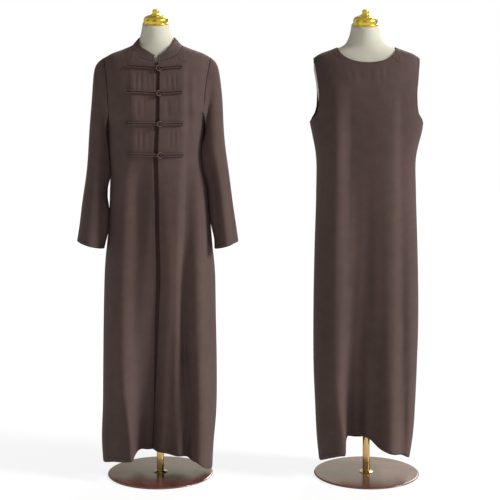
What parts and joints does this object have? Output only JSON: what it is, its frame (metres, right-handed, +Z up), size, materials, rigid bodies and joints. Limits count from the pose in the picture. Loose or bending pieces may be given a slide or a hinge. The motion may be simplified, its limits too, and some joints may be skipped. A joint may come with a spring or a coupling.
{
  "type": "abaya set on two dress forms",
  "caption": "Open-front abaya with stand collar, frog closures and long sleeves, and a straight sleeveless dress, each hanging hollow on a limbless dress form with a round base.",
  "frame": {"origin": "under the middle of the set's box, on the floor", "axes": "+Z up; the garments face -Y; +X runs from the abaya to the dress"},
  "size_m": [1.1692, 0.364, 1.5883],
  "materials": {
    "cloth": "soft taupe-brown crepe with a gentle sheen",
    "cord": "rouleau cord of the same crepe",
    "form_cloth": "cream cotton jersey stretched over the form",
    "gilt": "polished gilt metal",
    "brass": "polished brass tube",
    "bronze": "dark bronze, mirror polished"
  },
  "bodies": {
    "root": {"abaya_front_right": "cloth", "abaya_front_left": "cloth", "abaya_back": "cloth", "abaya_underlap": "cloth", "abaya_collar": "cloth", "abaya_sleeve_right": "cloth", "abaya_sleeve_left": "cloth", "dress_front": "cloth", "dress_back": "cloth", "abaya_frog_1_knot_cord": "cord", "abaya_frog_1_loop": "cord", "abaya_frog_1_knot": "cord", "abaya_frog_2_knot_cord": "cord", "abaya_frog_2_loop": "cord", "abaya_frog_2_knot": "cord", "abaya_frog_3_knot_cord": "cord", "abaya_frog_3_loop": "cord", "abaya_frog_3_knot": "cord", "abaya_frog_4_knot_cord": "cord", "abaya_frog_4_loop": "cord", "abaya_frog_4_knot": "cord", "abaya_form_torso": "form_cloth", "abaya_form_neck_cap": "gilt", "abaya_form_pole": "brass", "abaya_form_pole_collar": "brass", "abaya_form_base": "bronze", "dress_form_torso": "form_cloth", "dress_form_neck_cap": "gilt", "dress_form_pole": "brass", "dress_form_pole_collar": "brass", "dress_form_base": "bronze"}
  },
  "joints": []
}
